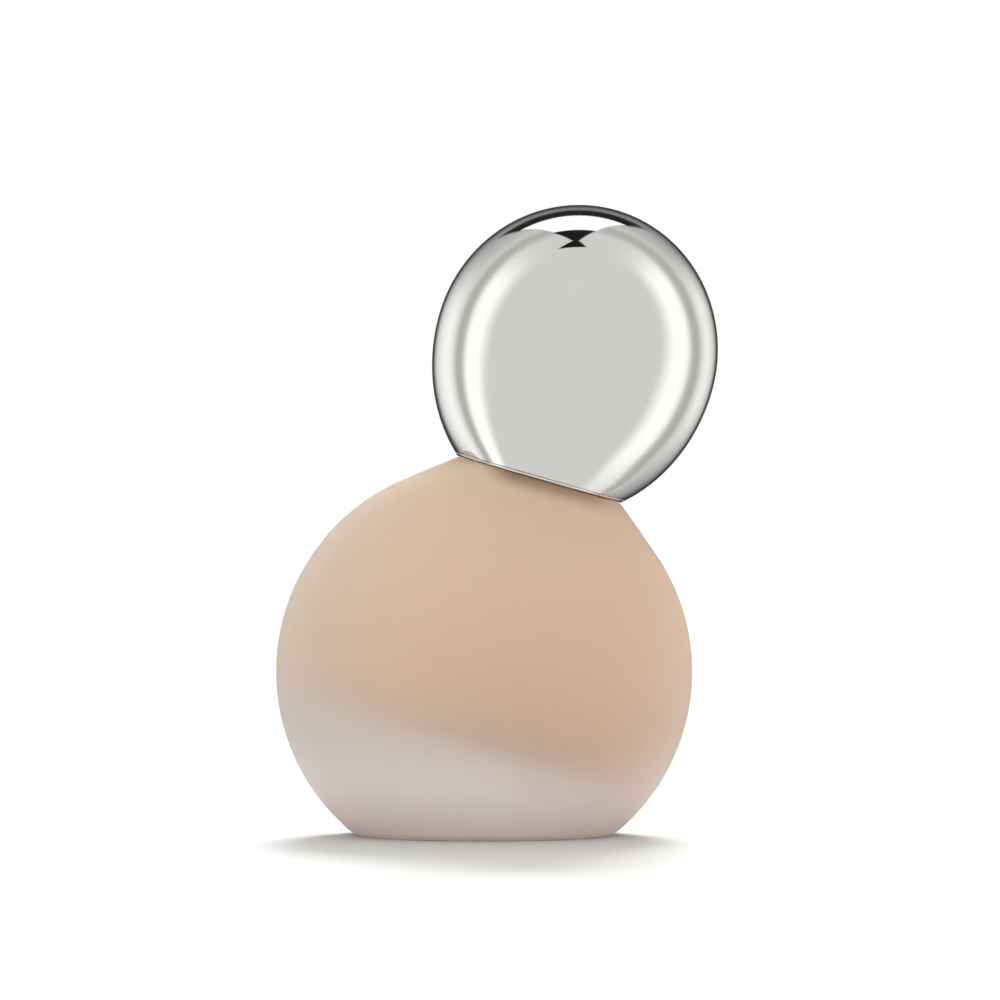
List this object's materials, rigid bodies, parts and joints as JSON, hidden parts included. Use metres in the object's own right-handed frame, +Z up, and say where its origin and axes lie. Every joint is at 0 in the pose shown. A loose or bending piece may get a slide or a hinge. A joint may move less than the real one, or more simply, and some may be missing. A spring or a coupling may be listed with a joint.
{
  "type": "foundation bottle",
  "caption": "Frosted glass make-up bottle shaped as a pebble on a flat foot, with a leaning neck, a spring pump and a mirror-finished pebble cap.",
  "frame": {"origin": "middle of the bottle's flat base", "axes": "+Z up through the bottle, +X towards the side the neck and cap lean to, -Y out of the front face"},
  "size_m": [0.0697, 0.0324, 0.0994],
  "materials": {
    "frosted_glass": "matte",
    "mirror_silver": "polished",
    "brushed_aluminium": "satin",
    "white_plastic": "satin",
    "natural_plastic": "satin",
    "gasket_foam": "matte",
    "spring_steel": "polished",
    "clear_glass": "gloss"
  },
  "bodies": {
    "bottle": {"glass_bottle": "frosted_glass"},
    "pump": {"pump_housing": "natural_plastic", "stem_guide": "white_plastic", "neck_gasket": "gasket_foam", "dip_tube": "natural_plastic", "return_spring": "spring_steel"},
    "collar": {"screw_closure": "white_plastic", "collar_shell": "brushed_aluminium"},
    "ball": {"check_ball": "clear_glass"},
    "seal": {"piston": "natural_plastic"},
    "actuator": {"piston_stem": "natural_plastic", "piston_rod": "natural_plastic", "actuator_button": "white_plastic", "actuator_sleeve": "brushed_aluminium", "nozzle_insert": "white_plastic"},
    "cap": {"cap_front_shell": "mirror_silver", "cap_rear_shell": "mirror_silver", "cap_base_ring": "mirror_silver", "cap_core": "white_plastic"}
  },
  "joints": [
    {"name": "cap_pull", "type": "slide", "parent": "bottle", "child": "cap", "axis": [0.2756, 0, 0.9613], "range_m": [0, 0.045]},
    {"name": "pump_lift", "type": "slide", "parent": "bottle", "child": "pump", "axis": [0.2756, 0, 0.9613], "range_m": [0, 0.00317]},
    {"name": "collar_turn", "type": "hinge", "parent": "pump", "child": "collar", "pos_m": [0.00868, 0, 0.05608], "axis": [0.2756, 0, 0.9613], "range_deg": [0, 360]},
    {"name": "pump_press", "type": "slide", "parent": "pump", "child": "seal", "axis": [-0.2756, 0, -0.9613], "range_m": [0, 0.0035], "stiffness_N_per_m": 700, "springref_m": -0.004, "deforming": ["return_spring"]},
    {"name": "actuator_turn", "type": "hinge", "parent": "seal", "child": "actuator", "pos_m": [0.00868, 0, 0.05608], "axis": [0.2756, 0, 0.9613], "continuous": true},
    {"name": "ball_lift", "type": "slide", "parent": "pump", "child": "ball", "axis": [0.2756, 0, 0.9613], "range_m": [0, 0.0009]}
  ],
  "couplings": [
    {"joint": "pump_lift", "follows": "collar_turn", "m_per_rad": 0.00050532}
  ]
}
